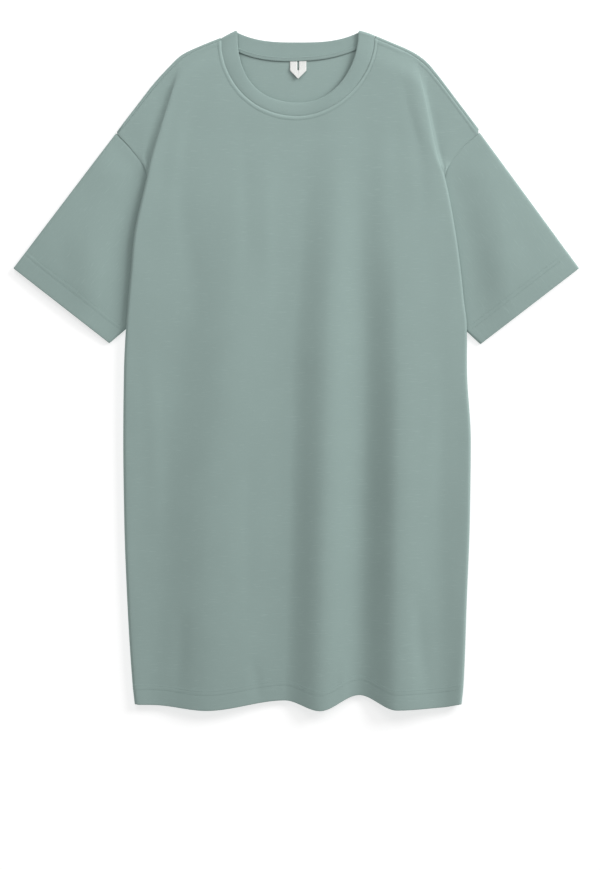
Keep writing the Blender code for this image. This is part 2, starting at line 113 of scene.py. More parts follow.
# The shoulder's folded edge and the seam in front of it, by distance from the centre.
shoulderLine = {
    "x": (104, 135, 160, 180, 200, 220, 240, 256),
    ("edge", left): (465.0, 452.5, 440.3, 421.0, 399.0, 373.0, 347.0, 325.5),
    ("edge", right): (470.0, 457.0, 446.0, 432.8, 409.5, 383.0, 356.5, 335.3),
    ("seam", left): (461.5, 449.5, 435.3, 415.5, 393.0, 367.2, 342.0, 322.5),
    ("seam", right): (466.0, 453.5, 441.5, 426.8, 403.3, 377.0, 350.5, 328.5),
    "turn": 1.6,           # width of the fold where the back turns over
}

# Long folds of the front, left to right: place and height of each crest or trough at
# five stations along the dress, and how far the hem hangs there.
foldStations = (-460.0, -200.0, 0.0, 210.0, 330.0)
folds = {
    "left edge": {"x": (-222, -236, -238, -220, -192), "z": (10, 10.5, 12, 13.6, 11.6), "hem": -467.5},
    "left trough": {"x": (-197, -190, -166, -152, -150), "z": (8.5, 8.5, 9, 9.5, 8.6), "hem": -468.0},
    "left crest": {"x": (-125, -120, -98, -88, -85), "z": (15, 15.2, 14.2, 10.8, 7.4), "hem": -475.6},
    "middle trough": {"x": (-16, -9, -6, 8, 12), "z": (7, 7, 7.5, 7.6, 5.8), "hem": -461.6},
    "middle crest": {"x": (33, 39, 43, 52, 54), "z": (19, 18, 16.5, 11.5, 6.4), "hem": -475.6},
    "right trough": {"x": (88, 92, 95, 92, 88), "z": (6, 6, 7, 8, 5.9), "hem": -454.2},
    "right crest": {"x": (140, 142, 143, 140, 130), "z": (21.6, 21.6, 18.9, 11.2, 7.4), "hem": -474.5},
    "side trough": {"x": (205, 206, 205, 196, 170), "z": (10.5, 12.2, 12.8, 11, 8.8), "hem": -471.0},
    "right edge": {"x": (226, 238, 235, 216, 190), "z": (12.8, 13.2, 12, 10.5, 9.3), "hem": -467.5},
}

neck = {
    "centre": 2.3,
    left: 460.5,           # the shoulder line it is drawn about
    right: 465.0,
    "seamHalf": 107.0,
    "edgeHalf": 84.5,
    "edgeLine": 472.4,
    "frontSeam": {"depth": 107.5, left: 2.0, right: 1.9},
    "frontEdge": {"depth": 98.2, left: 2.4, right: 2.0},
    "backSeam": {"depth": 27.5, "power": 2.5},
    "backEdge": {"depth": 13.6, "power": 3.0},
    "notch": 1.0,          # from its corner to the next column of a panel
    "ridge": 0.29,         # the panel stands up over its turned seam allowance
    "ridgeWidth": 4.6,
    "sunk": 0.05,          # along the seam itself
    "stitchAt": 5.4,       # from the seam
    "groove": 0.15,        # that its stitches pull
}


# Curves

def follow(at, xs, ys):
    # smooth curve through points that never overshoots them; xs and ys may vary with at
    at = np.atleast_1d(np.asarray(at, float))
    xs = np.asarray(xs, float).reshape(len(xs), -1)
    ys = np.asarray(ys, float).reshape(len(ys), -1)
    xs = np.broadcast_to(xs, (len(xs), at.size))
    ys = np.broadcast_to(ys, (len(ys), at.size))
    width = np.diff(xs, axis=0)
    rise = np.diff(ys, axis=0) / width
    slope = np.zeros(ys.shape)
    both = rise[:-1] * rise[1:]
    same = both > 0
    slope[1:-1] = np.where(same, 2 * both / np.where(same, rise[:-1] + rise[1:], 1), 0)
    slope[0], slope[-1] = rise[0], rise[-1]
    i = np.clip((at[None] >= xs).sum(axis=0) - 1, 0, len(xs) - 2)[None]

    def pick(values, index):
        return np.take_along_axis(values, index, 0)[0]

    span = pick(width, i)
    t = np.clip((at - pick(xs, i)) / span, 0, 1)
    low, high = pick(ys, i), pick(ys, i + 1)
    start, end = pick(slope, i) * span, pick(slope, i + 1) * span
    return (low * (1 + 2 * t) * (1 - t) ** 2 + high * t**2 * (3 - 2 * t)
            + start * t * (1 - t) ** 2 - end * t**2 * (1 - t))


def ease(t):
    t = np.clip(t, 0, 1)
    return t * t * (3 - 2 * t)


def mix(a, b, t):
    return a + (b - a) * t


def bump(d, width):
    return np.exp(-(d / width) ** 2)


def bezier(t, points):
    start, second, third, end = np.array(points, float)
    return ((1 - t) ** 3 * start + 3 * (1 - t) ** 2 * t * second
            + 3 * (1 - t) * t**2 * third + t**3 * end)


def distances(line):
    # how far along a line each of its points is
    return np.append(0, np.cumsum(np.linalg.norm(np.diff(line, axis=0), axis=1)))


def placesAt(at, steps, line):
    return np.column_stack([np.interp(at, steps, column) for column in line.T])


def bodyEdge(side, y):
    return follow(y, body["y"], body[side])


def bodySeam(y):
    return follow(y, body["seamY"], body["seamHalf"])


def acrossNeck(x, half):
    return ease((np.asarray(x) - neck["centre"] + half) / (2 * half))


def shoulder(kind, x):
    out = np.clip(np.abs(x), shoulderLine["x"][0], None)
    values = [follow(out, shoulderLine["x"], shoulderLine[kind, side]) for side in (left, right)]
    return mix(*values, acrossNeck(x, neck["seamHalf"]))


def shoulderLevel(x):
    out = (np.abs(x) - neck["seamHalf"]) / (shoulderLine["x"][-1] - neck["seamHalf"])
    return mix(cloth["neckLevel"], cloth["tipLevel"], ease(out))


def frontHeight(x, y):
    x, y = np.atleast_1d(x), np.atleast_1d(y)
    places = [follow(y, foldStations, fold["x"]) for fold in folds.values()]
    heights = [follow(y, foldStations, fold["z"]) for fold in folds.values()]
    rise = ease((shoulder("seam", x) - y) / cloth["shoulderRise"])
    return mix(shoulderLevel(x), follow(x, places, heights), rise)


def hemWave(x):
    ends = [(fold["x"][0], fold["hem"]) for fold in folds.values()]
    return follow(x, *zip(*ends))


def neckLine(x):
    return mix(neck[left], neck[right], acrossNeck(x, neck["seamHalf"]))


def neckScoop(x, half, shape):
    power = mix(shape[left], shape[right], acrossNeck(x, half))
    return (1 - np.clip(np.abs((x - neck["centre"]) / half), 0, 1) ** power) ** (1 / power)


def frontSeamY(x, half=neck["seamHalf"], extra=0.0):
    shape = neck["frontSeam"]
    return neckLine(x) - (shape["depth"] + extra) * neckScoop(x, half, shape)


def frontEdgeY(x):
    shape = neck["frontEdge"]
    return neck["edgeLine"] - shape["depth"] * neckScoop(x, neck["edgeHalf"], shape)


def backY(x, line, half, shape):
    out = np.clip(np.abs((x - neck["centre"]) / half), 0, 1)
    return line - shape["depth"] * (1 - out ** shape["power"])


def backSeamY(x, half=neck["seamHalf"]):
    return backY(x, neckLine(x), half, neck["backSeam"])


def backEdgeY(x):
    return backY(x, neck["edgeLine"], neck["edgeHalf"], neck["backEdge"])


def neckStops(count, half):
    return neck["centre"] + half * np.cos(np.linspace(math.pi, 0, count + 1))


def lie(x, y):
    # the slight unevenness of cloth that has been laid down and smoothed by hand
    return (0.22 * np.sin(x / 31 + 1.3 * np.sin(y / 83)) * np.sin(y / 47 + 0.8)
            + 0.16 * np.sin(x / 17 - y / 61 + 2.1) + 0.12 * np.sin(y / 23 + x / 90))


def creased(x, y, creases):
    lift = np.zeros(np.shape(x))
    for crease in creases:
        start, end = np.array(crease["from"], float), np.array(crease["to"], float)
        run = end - start
        length = np.linalg.norm(run)
        run /= length
        t = ((x - start[0]) * run[0] + (y - start[1]) * run[1]) / length
        off = (x - start[0]) * -run[1] + (y - start[1]) * run[0]
        inside = np.clip(t, 0, 1)
        off = off - crease.get("bend", 0) * 4 * inside * (1 - inside)
        taper = np.sin(math.pi * inside) ** 0.8
        lift += crease["lift"] * bump(off, crease["width"]) * taper
    return lift


# Meshes

def newObject(name, data):
    made = bpy.data.objects.new(name, data)
    bpy.context.collection.objects.link(made)
    return made


def addMesh(name, points, faces, material, slot, paintedShading=None):
    mesh = bpy.data.meshes.new(name)
    points = np.array(points, float).reshape(-1, 3)
    points[:, 2] = np.maximum(points[:, 2], cloth["lowest"])
    placed = points * mm + middleOfFrame
    mesh.from_pydata([tuple(p) for p in placed], [], [tuple(int(i) for i in f) for f in faces])
    # the painted light and shade, where given, goes into an attribute of the mesh
    if paintedShading is not None:
        lighter = mesh.attributes.new("paintedShading", "FLOAT", "POINT")
        lighter.data.foreach_set("value", np.resize(paintedShading, len(placed)))
    mesh.validate()
    mesh.materials.append(material)
    mesh.shade_smooth()
    piece = newObject(name, mesh)
    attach(piece, "root")
    return piece


def gridNormals(grid, wrap):
    across = np.roll(grid, -1, 1) - np.roll(grid, 1, 1)
    if not wrap:
        across[:, 0] = grid[:, 1] - grid[:, 0]
        across[:, -1] = grid[:, -1] - grid[:, -2]
    along = np.gradient(grid, axis=0)
    normal = np.cross(across, along)
    return normal / np.maximum(np.linalg.norm(normal, axis=2, keepdims=True), 1e-9)


def quads(rows, columns, wrap):
    i, j = np.meshgrid(np.arange(rows - 1), np.arange(columns if wrap else columns - 1), indexing="ij")
    k = (j + 1) % columns
    corners = (i * columns + j, i * columns + k, (i + 1) * columns + k, (i + 1) * columns + j)
    return np.stack([c.ravel() for c in corners], axis=1)


def rim(rows, columns, wrap):
    # the quads that join the two faces of a wall along its edges
    below = rows * columns
    loops = [np.arange(columns), (rows - 1) * columns + np.arange(columns)[::-1]]
    if wrap:
        loops = [np.append(loop, loop[0]) for loop in loops]
    else:
        loops += [np.arange(rows)[::-1] * columns, np.arange(rows) * columns + columns - 1]
    strips = [np.stack((loop[1:], loop[:-1], loop[:-1] + below, loop[1:] + below), axis=1) for loop in loops]
    return np.concatenate(strips)


def wallOf(grid, thickness, wrap=False):
    # a closed wall of cloth about its middle, with its thickness at each point
    rows, columns = grid.shape[:2]
    half = gridNormals(grid, wrap) * (np.broadcast_to(thickness, grid.shape[:2]) / 2)[..., None]
    points = np.concatenate(((grid + half).reshape(-1, 3), (grid - half).reshape(-1, 3)))
    top = quads(rows, columns, wrap)
    faces = np.concatenate((top, top[:, ::-1] + rows * columns, rim(rows, columns, wrap)))
    return points, faces


def rounded(d, reach=1.3):
    # thins a wall towards its free edge, so that the fold there is round
    t = np.clip(d / reach, 0, 1)
    return np.sqrt(np.clip(1 - (1 - t) ** 2, 0.02, 1))


# Hems: where their stitched rows are and the groove that these pull, and how much the cloth
# between them puckers, about what distance from the edge.
hem = {"depth": 27.0, "backDepth": 25.0, "rows": (21.5, 27.0), "groove": 0.14,
       "pucker": 0.07, "puckerAt": 24.0}
cuff = {"depth": 29.0, "rows": (24.0, 29.5), "groove": 0.18, "pucker": 0.06, "puckerAt": 26.0}


def hemExtra(inside):
    # a turned hem's extra thickness, by how far inside its stitched edge a place is
    return (cloth["hemThickness"] - cloth["thickness"]) * ease((inside + 1.2) / 1.4)


# Front

frontDetail = {
    "hemRows": (0, 0.25, 0.7, 1.4, 3.5, 7.5, 12, 16, 19, 20.6, 21.5, 22.4, 24.2, 26.1, 27, 27.9,
                29.5, 32),
    "spacing": 4.6,        # of the rows above the hem
    "topStart": 419.0,     # from here up to the top they are closer
    "top": 434.0,
    "topSpacing": 1.3,
    # columns: under a side fold, round it, and along the top
    "tuckSteps": (0, 0.008, 0.02, 0.045, 0.08, 0.14, 0.22, 0.31, 0.41, 0.5, 0.58, 0.66, 0.74, 0.82,
                  0.9, 0.96),
    "rollSteps": (0, 0.1, 0.22, 0.36, 0.5, 0.66, 0.83),
    "neckColumns": 84,
    "shoulderColumns": 30,
    # rows at the first heights of the folded edge start at the second ones of the seam
    "seamRows": ((-467, 255, 277, 292, 312, 337, 366, 400, 434),
                 (-467, 255, 277, 286, 295, 304, 313, 320, 325)),
    "margin": 45.0,        # beside the folds, where the rows aren't yet bent to the neckline
    "bendReach": 270.0,    # how far below the top the rows are bent
    "lean": 10.0,          # how far the columns that run down from the neck's corners lean out
    "leanWidth": 22.0,     # beside the corners, over which that dies out
    "leanReach": 200.0,    # and below them
    "leanStart": 10.0,
    "tipFrom": 313.0,      # from here up the seam settles to the shoulder tip
    "settleFrom": 350.0,   # and from here the edge to the shoulder seam
    "reliefMargin": 16.0,  # beside the folds, over which creases and seams begin
    "ridgeMiddle": 2.6,    # of the ridge beside the neck seam, where a highlight is painted
}
shoulderSeam = {"raised": 0.3, "width": 6.0}

# Slight creases of the front, each from one place to another, raised or sunk, some bent.
frontCreases = (
    {"from": (-75, 352), "to": (-72, 90), "bend": 4, "width": 13, "lift": -0.7},
    {"from": (-150, 395), "to": (-176, 180), "bend": -8, "width": 12, "lift": 0.8},
    {"from": (-185, 300), "to": (-140, 60), "bend": 10, "width": 16, "lift": -0.6},
    {"from": (150, 410), "to": (178, 200), "bend": 9, "width": 12, "lift": -0.9},
    {"from": (120, 360), "to": (110, 120), "bend": 5, "width": 15, "lift": 0.7},
    {"from": (-35, 330), "to": (-40, 60), "bend": -3, "width": 11, "lift": 0.5},
    {"from": (-208, 40), "to": (-198, -250), "bend": 5, "width": 12, "lift": 0.7},
    {"from": (-60, -60), "to": (-66, -380), "bend": -5, "width": 14, "lift": -0.7},
    {"from": (190, 20), "to": (178, -230), "bend": 4, "width": 13, "lift": 0.8},
    {"from": (170, -300), "to": (182, -462), "bend": -3, "width": 11, "lift": -1.3},
    {"from": (-160, -330), "to": (-168, -462), "bend": 3, "width": 12, "lift": -1.0},
    {"from": (-60, -400), "to": (-52, -470), "width": 9, "lift": -0.8},
    {"from": (68, -395), "to": (64, -468), "width": 8, "lift": 0.6},
)


def seamPoint(side, seamY):
    # half width and height of the armhole and side seam, up to the shoulder tip
    begin, end = frontDetail["tipFrom"], frontDetail["seamRows"][1][-1]
    last = float(ease((seamY - begin) / (end - begin)))
    tip = shoulder("seam", side * body["tip", side])[0]
    half = bodySeam(seamY)[0] + (body["tip", side] - bodySeam(end)[0]) * last
    return half, seamY + (tip - end) * last


def tuckStart(y):
    # level of the front at its seam: on the surface below the underarm, on the sleeve above it
    lying = ease((y - body["underarm"]) / cloth["underarmRise"] + 1)
    stacked = ease((body["crossing"] - y) / cloth["crossingRise"] + 1)
    return mix(cloth["floorLevel"], cloth["tipLevel"] + cloth["stack"] * stacked, lying)


def overSleeve(side, x, y):
    # lowest height at which the front clears the sleeve's underarm edge
    start = np.array((bodySeam(body["underarm"])[0], body["underarm"]))
    run = np.array(sleeves["cuffFoot"][side]) - start
    run /= np.linalg.norm(run)
    across = (np.abs(x) - start[0]) * -run[1] + (y - start[1]) * run[0]
    high = cloth["tipLevel"] + cloth["stack"]
    share = ease((across + cloth["sleeveMargin"]) / cloth["underarmRise"])
    return mix(cloth["floorLevel"], high, share)


def frontSide(side, edgeY, seamY):
    # one row of the front beside its edge: from the seam, under, and round the fold
    halfEdge = bodyEdge(side, edgeY)[0]
    halfSeam, seamHeight = seamPoint(side, seamY)
    inset = cloth["gap"] / 2 if seamY > body["crossing"] else -cloth["gap"]
    first, last = cloth["foldReach"]
    tight = float(1 - ease((edgeY - first) / (last - first)))
    above = float(ease((edgeY - body["crossing"] + 8) / 16))
    rollWidth, share = cloth["roll", side]
    widening = float(ease((edgeY - body["crossing"]) / cloth["widening"]))
    width = mix(cloth["softWidth"], mix(cloth["foldWidth"], rollWidth, widening), tight)
    top = frontHeight(side * halfEdge, edgeY)[0]
    start = float(tuckStart(seamY))
    begin, reach = cloth["sideRise"]
    risen = float(ease((edgeY - begin) / reach))
    raised = mix(0.5 * (cloth["floorLevel"] + top), top - cloth["edgeDrop"], risen)
    level = mix(raised, mix(start, top, share), above)
    drop = (top - level) * mix(0.35, 0.25, tight)
    seam = np.array((halfSeam - inset, seamHeight, start))
    edge = np.array((halfEdge, edgeY, level))
    second = seam + (edge - seam) * (0.35, 0.35, 0)
    third = edge + (width * 0.35 * (1 - tight), (seamHeight - edgeY) * 0.2, -drop)
    yokeWidth = halfSeam - halfEdge
    slope = mix(cloth["softWidth"], cloth["slope", side], tight)
    slope = max(min(slope, 0.7 * yokeWidth), 0.4)
    foot = edge + (slope, 0.3 * slope * (seamHeight - edgeY) / max(yokeWidth, 1), start - level)
    points = []
    # below the crossing the cloth turns under in a curve, above it falls to a flat yoke
    for t in frontDetail["tuckSteps"]:
        if t < 0.5:
            yoke = mix(seam, foot, t / 0.5)
            yoke[2] += 0.6 * math.sin(math.pi * t / 0.5)
        else:
            yoke = mix(foot, edge, t * 2 - 1)
            yoke[2] = mix(start, level, (t * 2 - 1) ** cloth["hollow", side])
        p = mix(bezier(t, (seam, second, third, edge)), yoke, above)
        p[2] = max(p[2], overSleeve(side, p[0], p[1]) if p[1] < body["underarm"] else start)
        points.append((side * p[0], p[1], p[2]))
    for q in frontDetail["rollSteps"]:
        soft = bezier(q, ((0, 1), (0.35, 0.65), (0.6, 0), (1, 0)))
        firm = np.array((1 - math.cos(q * math.pi / 2), 1 - math.sin(q * math.pi / 2)))
        across, fall = mix(soft, firm, tight)
        x = side * (halfEdge - width * across)
        points.append((x, edgeY, frontHeight(x, edgeY)[0] - (top - level) * fall))
    return np.array(points), side * (halfEdge - width)


def panelStops(x0, x1, half, shape):
    # places along the top of a panel: left shoulder, neck, right shoulder
    stops = neckStops(shape["neckColumns"], half)
    spread = np.linspace(0, 1, shape["shoulderColumns"]) ** 1.5
    toLeft = mix(stops[0] - neck["notch"], x0, spread)[::-1]
    toRight = mix(stops[-1] + neck["notch"], x1, spread)
    return np.concatenate((toLeft, stops, toRight))


def frontTop(x, half):
    inside = np.abs(x - neck["centre"]) < half
    return np.where(inside, frontSeamY(x, half, cloth["gap"]), shoulder("seam", x))


def neckDistance(x, y):
    # distance from the front neck seam, far from it 99
    seamX = neckStops(400, neck["seamHalf"])
    seam = np.stack((seamX, frontSeamY(seamX)), axis=1)
    near = (y > seam[:, 1].min() - 20) & (np.abs(x) < neck["seamHalf"] + 20)
    distance = np.full(np.shape(x), 99.0)
    points = np.stack((x[near], y[near]), axis=1)
    distance[near] = np.linalg.norm(points[:, None] - seam[None], axis=2).min(axis=1)
    return distance


def seamRelief(d, raised, width, sunk=0.35):
    # a sewn line: the edge goes down into it and the allowance lifts the cloth beside it
    lifted = ease(d / 1.2) * ease((width + 0.8 - d) / 1.8)
    return raised * lifted - sunk * bump(d, 0.7)


def frontRelief(x, y):
    hemDistance = y - hemWave(x)
    toShoulder = shoulder("seam", x) - y
    onShoulder = np.abs(x - neck["centre"]) > neck["seamHalf"] + 1
    distance = neckDistance(x, y)
    lift = lie(x, y) * ease(toShoulder / 60) + creased(x, y, frontCreases)
    lift += seamRelief(distance, neck["ridge"], neck["ridgeWidth"], neck["sunk"])
    lift -= neck["groove"] * bump(distance - neck["stitchAt"], 0.7)
    lift += np.where(onShoulder, seamRelief(toShoulder, **shoulderSeam), 0)
    for row in hem["rows"]:
        lift -= hem["groove"] * bump(hemDistance - row, 0.9)
    pucker = np.sin(x / 2.1 + 2.0 * np.sin(x / 37)) * bump(hemDistance - hem["puckerAt"], 9)
    return lift + hem["pucker"] * pucker


def frontGrid():
    shape = frontDetail
    foot = body["hemLine"]
    low = foot + np.array(shape["hemRows"], float)
    high = np.arange(shape["topStart"], shape["top"] + 0.01, shape["topSpacing"])
    high = np.append(high[:-1], shape["top"])
    count = round((high[0] - low[-1]) / shape["spacing"])
    edgeRows = np.concatenate((low, np.linspace(low[-1], high[0], count + 1)[1:-1], high))
    seamRows = follow(edgeRows, *shape["seamRows"])
    half = neck["seamHalf"] + cloth["gap"]
    rows, thickness = [], []
    for edgeY, seamY in zip(edgeRows, seamRows):
        leftSide, x0 = frontSide(left, edgeY, seamY)
        rightSide, x1 = frontSide(right, edgeY, seamY)
        along = (edgeY - foot) / (shape["top"] - foot)
        stops = panelStops(x0, x1, half, shape)
        even = np.linspace(x0, x1, len(stops))
        x = mix(even, stops, along**4)
        margin = ease(np.minimum(x - x0, x1 - x) / shape["margin"])
        top = mix(shape["top"], frontTop(stops, half), margin)
        y = edgeY + (top - shape["top"]) * ease(1 - (shape["top"] - edgeY) / shape["bendReach"])
        down = frontTop(stops, half) - y
        across = (stops - neck["centre"]) / half
        past = np.maximum(np.abs(across) - 1, 0) * half
        lean = np.clip(across, -1, 1) * bump(past, shape["leanWidth"]) * margin
        lean *= (1 - np.exp(-np.maximum(down, 0) / shape["leanStart"])) * ease(1 - down / shape["leanReach"])
        x = x + shape["lean"] * lean
        reach = ease(1 - (y - foot) / body["hemReach"])
        y = y + (hemWave(x) - foot) * reach
        middle = np.column_stack((x, y, frontHeight(x, y)))
        rows.append(np.concatenate((leftSide, middle, rightSide[::-1])))
        extra = hemExtra(hem["depth"] - (edgeY - foot))
        thickness.append((cloth["thickness"] + extra) * rounded(edgeY - foot))
        rows[-1][:, 2] += extra / 2
    grid = np.array(rows)
    settleShoulders(grid, edgeRows, half)
    tucked = len(leftSide)
    inner = grid[:, tucked:-tucked]
    x, y = inner[..., 0], inner[..., 1]
    fade = ease(np.minimum(x - x[:, :1], x[:, -1:] - x) / shape["reliefMargin"])
    relief = frontRelief(x.ravel(), y.ravel()).reshape(x.shape)
    inner[..., 2] += relief * fade
    armholeRelief(grid, seamRows)
    # painted light and shade: a painted highlight along the ridge beside the neck seam, painted shade in the
    # groove its stitches pull, and lighter along the hem's folded edge
    paintedShading = np.zeros(grid.shape[:2])
    distance = neckDistance(x.ravel(), y.ravel()).reshape(x.shape)
    paintedShading[:, tucked:-tucked] = bump(distance - shape["ridgeMiddle"], 1.7)
    paintedShading[:, tucked:-tucked] -= 0.7 * bump(distance - neck["stitchAt"], 0.9)
    paintedShading += 0.5 * bump(edgeRows - foot, 1.2)[:, None]
    return grid, np.array(thickness)[:, None], paintedShading


def settleShoulders(grid, edgeRows, half):
    # brings the last rows of the sides up to the shoulder seam
    last = grid[-1]
    tuck = len(frontDetail["tuckSteps"])
    outer = np.abs(last[:, 0] - neck["centre"]) > half
    rise = np.where(outer, shoulder("seam", last[:, 0]) - last[:, 1], 0)
    for row, edgeY in zip(grid, edgeRows):
        begin = frontDetail["settleFrom"]
        share = float(np.clip((edgeY - begin) / (frontDetail["top"] - begin), 0, 1)) ** 2
        x, y = row[tuck:-tuck, 0], row[tuck:-tuck, 1]
        row[tuck:-tuck, 2] += frontHeight(x, y + rise[tuck:-tuck] * share) - frontHeight(x, y)
        row[:, 1] += rise * share
    last[outer, 2] = shoulderLevel(last[outer, 0])


def armholeRelief(grid, seamRows):
    tuck = len(frontDetail["tuckSteps"])
    shown = ease((seamRows - body["crossing"] + 16) / 10)[:, None]
    for side, columns, seam in ((left, slice(0, tuck), 0), (right, slice(-tuck, None), -1)):
        points = grid[:, columns]
        d = np.linalg.norm(points[..., :2] - grid[:, seam, None, :2], axis=2)
        points[..., 2] += seamRelief(d, body["seamRidge"][side], shoulderSeam["width"], 0.0) * shown
        toShoulder = shoulder("seam", points[..., 0].ravel()).reshape(d.shape) - points[..., 1]
        points[..., 2] += seamRelief(np.maximum(toShoulder, 0), **shoulderSeam) * shown * ease(d / 3)


def addFront(material):
    grid, thickness, paintedShading = frontGrid()
    piece = addMesh("frontPanel", *wallOf(grid, thickness), material, "jersey", paintedShading)
    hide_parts("front")
    print(f"front: {grid.shape[0]} x {grid.shape[1]} points")
    return piece


# Back

backDetail = {
    # rows above the front's hem, close together at the back hem and its upper edge
    "hemRows": (21, 21.3, 21.8, 22.5, 26, 32, 38, 44, 47, 48.5, 50),
    "spacing": 9.0,
    "topSpacing": 1.4,
    "neckColumns": 48,
    "shoulderColumns": 24,
}


def backGrid():
    shape = backDetail
    half = neck["seamHalf"] + cloth["gap"]
    inset = cloth["gap"] / 2
    stops = panelStops(inset - body["tip", left], body["tip", right] - inset, half, shape)
    inside = np.abs(stops - neck["centre"]) < half + 0.1
    neckTop = backSeamY(stops, half) - cloth["gap"]
    top = np.where(inside, neckTop, shoulder("edge", stops) - shoulderLine["turn"])
    foot, end = body["hemLine"], frontDetail["seamRows"][1][-1]
    start = (body["backHem"] - foot) / (end - foot)
    rows, thickness = [], []
    seamRows = np.concatenate((foot + np.array(shape["hemRows"]),
                               np.arange(foot + 55, end - 8, shape["spacing"]),
                               np.arange(end - 6, end - 0.4, shape["topSpacing"]), (end,)))
    for seamY in seamRows:
        along = (seamY - foot) / (end - foot)
        (halfLeft, leftY), (halfRight, rightY) = (seamPoint(side, seamY) for side in (left, right))
        x0, x1 = -(halfLeft - inset), halfRight - inset
        even = np.linspace(x0, x1, len(stops))
        x = mix(even, np.interp(stops, (stops[0], stops[-1]), (x0, x1)), ease(along * 2 - 1))
        share = (along - start) / (1 - start)
        y = mix(body["backHem"], top, share)
        y = mix(seamY, y, ease(share * 3))
        x[0], x[-1] = x0, x1
        y[0], y[-1] = leftY, rightY
        extra = hemExtra(hem["backDepth"] - (seamY - body["backHem"]))
        z = np.full(len(x), cloth["floorLevel"] + extra / 2)
        rows.append(np.column_stack((x, y, z)))
        thickness.append((cloth["thickness"] + extra) * rounded(seamY - body["backHem"]))
    grid = np.array(rows)
    grid[-1, :, 0], grid[-1, :, 1] = stops, top
    return grid, np.array(thickness)[:, None]


def shoulderTurn(x):
    # the back's strip that turns over the shoulder's edge and lies in front of it
    level = shoulderLevel(x)
    half = (level - cloth["floorLevel"]) / 2
    edge, seam = shoulder("edge", x), shoulder("seam", x) + 2 * cloth["gap"]
    rows = []
    for angle in np.linspace(-60, 90, 9):
        out = shoulderLine["turn"] * (1 - math.cos(math.radians(angle)))
        z = cloth["floorLevel"] + half * (1 + math.sin(math.radians(angle)))
        rows.append(np.column_stack((x, edge - out, z)))
    start = rows[-1][:, 1].copy()
    for share, drop in ((0.35, 0), (0.7, 0), (0.9, -0.15), (1.0, -0.6)):
        rows.append(np.column_stack((x, mix(start, np.minimum(start, seam), share), level + drop)))
    return np.array(rows)


def addBack(material):
    grid, thickness = backGrid()
    piece = addMesh("backPanel", *wallOf(grid, thickness), material, "jersey")
    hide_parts("back")
    strips = []
    count = backDetail["shoulderColumns"]
    for name, first in zip(sideNames.values(), (0, grid.shape[1] - count)):
        top = grid[-1:, first:first + count]
        strip = wallOf(np.concatenate((top, shoulderTurn(top[0, :, 0])[1:])), cloth["thickness"])
        strips.append(addMesh(f"shoulderTurn.{name}", *strip, material, "jersey"))
    print(f"back: {grid.shape[0]} x {grid.shape[1]} points")
    return piece, strips


# Sleeves

sleeves = {
    "cuffTop": {left: (395.0, 142.0), right: (395.0, 142.0)},
    "cuffFoot": {left: (262.0, 38.2), right: (258.3, 36.8)},
    "height": 7.6,         # between the middles of the two layers
    "turn": 2.1,           # width of a folded edge
    "pressed": 9.0,        # flat beside the body
    "swell": 60.0,         # over which a sleeve fills out
    "puff": (0.16, 85.0, 55.0),  # how much, how far from the cuff, over what width
    "grain": 52.0,         # degrees from the body's
    "length": 240.0,       # rows are placed by distance from the cuff along it
    "cuffRows": (0, 0.25, 0.7, 1.4, 4, 8, 13, 18, 22, 23.2, 24, 24.8, 26.8, 28.7, 29.5, 30.3, 32, 35),
    "seamRows": (2.4, 1.2, 0.5, 0),  # the last ones, by distance from the armhole seam
    "spacing": 5.0,
    "columns": 64,
}

# Across a sleeve, 0 is its top edge and 1 its underarm edge; along it, 0 is the cuff.
sleeveCreases = {
    left: (
        {"from": (0.15, 0.9), "to": (0.75, 0.12), "width": 0.09, "lift": 0.8},
        {"from": (0.35, 0.95), "to": (0.95, 0.3), "width": 0.10, "lift": -0.9},
        {"from": (0.05, 0.35), "to": (0.45, 0.14), "width": 0.07, "lift": -0.5},
    ),
    right: (
        {"from": (0.2, 0.85), "to": (0.7, 0.15), "width": 0.10, "lift": 0.7},
        {"from": (0.4, 0.9), "to": (0.9, 0.35), "width": 0.09, "lift": -0.7},
        {"from": (0.1, 0.5), "to": (0.3, 0.12), "width": 0.08, "lift": -0.4},
    ),
}


def cuffEnds(side):
    # the cuff's top and foot, and the way from one to the other
    top, foot = (np.array(sleeves[key][side]) for key in ("cuffTop", "cuffFoot"))
    return top, foot, (foot - top) / np.linalg.norm(foot - top)


